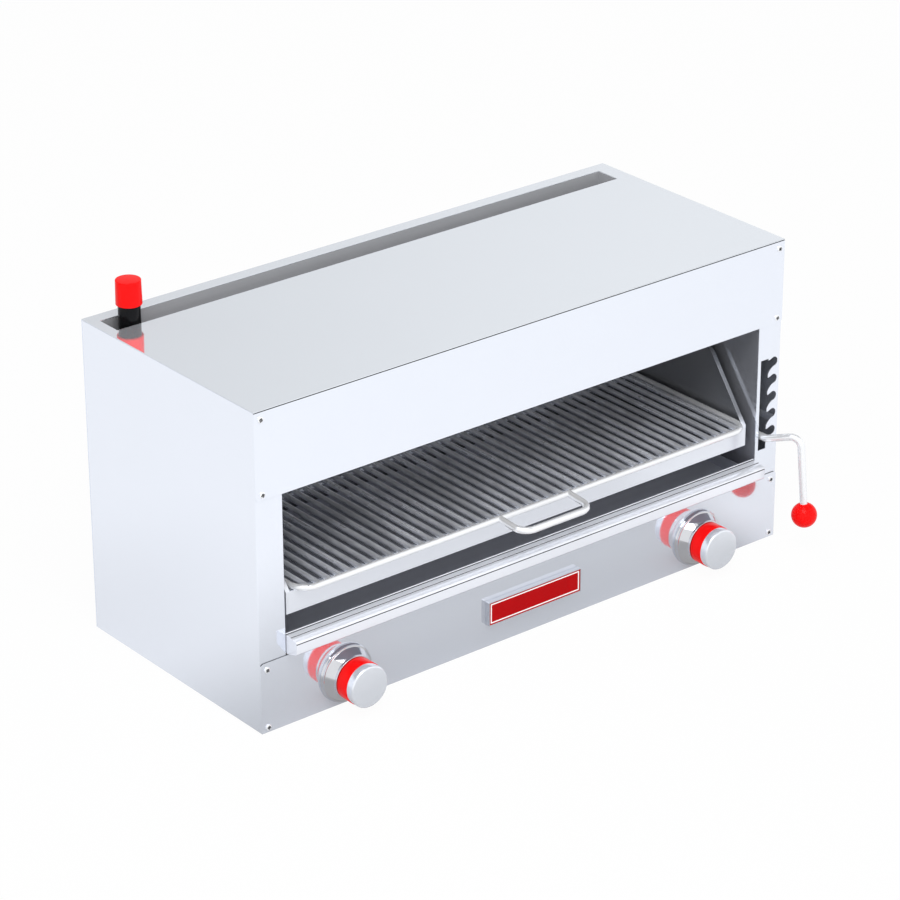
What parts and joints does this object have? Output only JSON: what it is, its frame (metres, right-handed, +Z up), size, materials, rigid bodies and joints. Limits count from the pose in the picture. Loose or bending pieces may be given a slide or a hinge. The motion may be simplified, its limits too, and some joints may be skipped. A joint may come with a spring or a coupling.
{
  "type": "cheese melter",
  "caption": "Countertop gas cheese melter: open-fronted steel box with overhead burners, a wire grate on a lever-lifted carrier, a drip tray, red-ringed knobs and a rear flue slot.",
  "frame": {"origin": "middle of the underside of the cabinet, on the surface that it stands on", "axes": "+X to the right as the user faces the front, -Y towards the user, +Z up"},
  "size_m": [0.8646, 0.4353, 0.4798],
  "materials": {
    "polished_steel": "mirror polished",
    "chamber_steel": "dull, cold rolled",
    "carrier_steel": "bright rolled",
    "bright_wire": "bright",
    "chromed_trim": "polished",
    "satin_cap": "satin turned",
    "red_plastic": "gloss",
    "red_enamel": "gloss",
    "burner_steel": "aluminised, heat dulled",
    "ceramic_tile": "matte",
    "black_iron": "black oxide",
    "brass": "machined",
    "aluminium_tube": "drawn"
  },
  "bodies": {
    "cabinet": {"left_side_panel": "polished_steel", "right_side_panel": "polished_steel", "top_panel": "polished_steel", "front_fascia": "polished_steel", "control_panel": "polished_steel", "back_panel": "polished_steel", "base_pan": "chamber_steel", "chamber_floor": "chamber_steel", "left_liner": "chamber_steel", "right_liner": "chamber_steel", "rear_liner": "chamber_steel", "flue_duct": "chamber_steel", "front_hanger_rail": "chamber_steel", "rear_hanger_rail": "chamber_steel", "heat_shield": "chamber_steel", "panel_screws": "bright_wire", "badge_frame": "chromed_trim", "badge_inlay": "red_enamel", "left_burner": "burner_steel", "right_burner": "burner_steel", "left_burner_tiles": "ceramic_tile", "right_burner_tiles": "ceramic_tile", "left_burner_screen": "burner_steel", "right_burner_screen": "burner_steel", "left_orifice": "brass", "right_orifice": "brass", "inlet_pipe": "black_iron", "pipe_elbow": "black_iron", "manifold_pipe": "black_iron", "left_gas_valve": "brass", "right_gas_valve": "brass", "left_supply_tube": "aluminium_tube", "right_supply_tube": "aluminium_tube", "left_bezel": "chromed_trim", "right_bezel": "chromed_trim", "left_guide_rod": "bright_wire", "right_guide_rod": "bright_wire", "left_stop_collar": "bright_wire", "right_stop_collar": "bright_wire", "left_guide_bracket": "chamber_steel", "right_guide_bracket": "chamber_steel"},
    "rack_carrier": {"rack_carrier": "carrier_steel", "left_guide_ears": "carrier_steel", "right_guide_ears": "carrier_steel", "lever_shelf": "carrier_steel", "lever_pin": "bright_wire"},
    "lever": {"lever_rod": "bright_wire", "ball_knob": "red_plastic"},
    "grate": {"grate": "bright_wire", "grate_handle": "bright_wire"},
    "drip_tray": {"drip_tray": "carrier_steel", "tray_lip": "carrier_steel"},
    "left_knob": {"left_knob_ring": "red_plastic", "left_knob_cap": "satin_cap", "left_valve_stem": "brass"},
    "right_knob": {"right_knob_ring": "red_plastic", "right_knob_cap": "satin_cap", "right_valve_stem": "brass"},
    "inlet_cap": {"inlet_cap": "red_plastic"}
  },
  "joints": [
    {"name": "carrier_lift", "type": "slide", "parent": "cabinet", "child": "rack_carrier", "axis": [0, 0, 1], "range_m": [0, 0.0988]},
    {"name": "lever_swing", "type": "hinge", "parent": "rack_carrier", "child": "lever", "pos_m": [0.3985, -0.057, 0.1526], "axis": [-0.342, 0, 0.9397], "range_deg": [0, 7.8]},
    {"name": "grate_slide", "type": "slide", "parent": "rack_carrier", "child": "grate", "axis": [0, -1, 0], "range_m": [0, 0.2]},
    {"name": "tray_slide", "type": "slide", "parent": "cabinet", "child": "drip_tray", "axis": [0, -1, 0], "range_m": [0, 0.24]},
    {"name": "left_knob_turn", "type": "hinge", "parent": "cabinet", "child": "left_knob", "pos_m": [-0.2985, -0.1785, 0.042], "axis": [0, -1, 0], "range_deg": [0, 90]},
    {"name": "right_knob_turn", "type": "hinge", "parent": "cabinet", "child": "right_knob", "pos_m": [0.282, -0.1785, 0.042], "axis": [0, -1, 0], "range_deg": [0, 90]},
    {"name": "inlet_cap_lift", "type": "slide", "parent": "cabinet", "child": "inlet_cap", "axis": [0, 0, 1], "range_m": [0, 0.03]}
  ]
}
